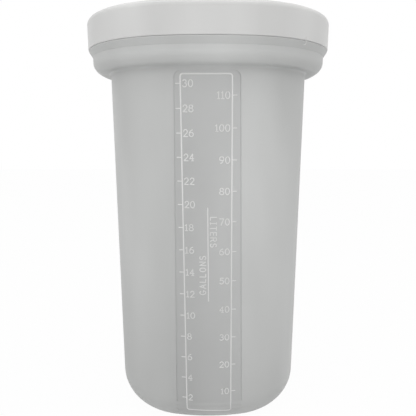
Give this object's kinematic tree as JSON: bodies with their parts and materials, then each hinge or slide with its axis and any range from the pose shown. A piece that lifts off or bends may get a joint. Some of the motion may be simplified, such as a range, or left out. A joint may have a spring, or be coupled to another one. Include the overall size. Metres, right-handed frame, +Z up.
{
  "type": "chemical tank with cover",
  "caption": "Tall moulded polyethylene chemical tank with a broad collar and a lift-off slip-over cover.",
  "frame": {"origin": "middle of the base, on the plane the tank stands on", "axes": "+Z up along the tank's axis, out of its mouth; the scale on the front faces -Y; +X to the right"},
  "size_m": [0.538, 0.538, 0.898],
  "materials": {
    "tank_polyethylene": "satin, slightly translucent, natural polyethylene",
    "cover_polyethylene": "satin, natural white polyethylene"
  },
  "bodies": {
    "tank": {"tank": "tank_polyethylene"},
    "cover": {"cover": "cover_polyethylene"}
  },
  "joints": [
    {"name": "cover_lift", "type": "slide", "parent": "tank", "child": "cover", "axis": [0, 0, 1], "range_m": [0, 0.2]}
  ]
}
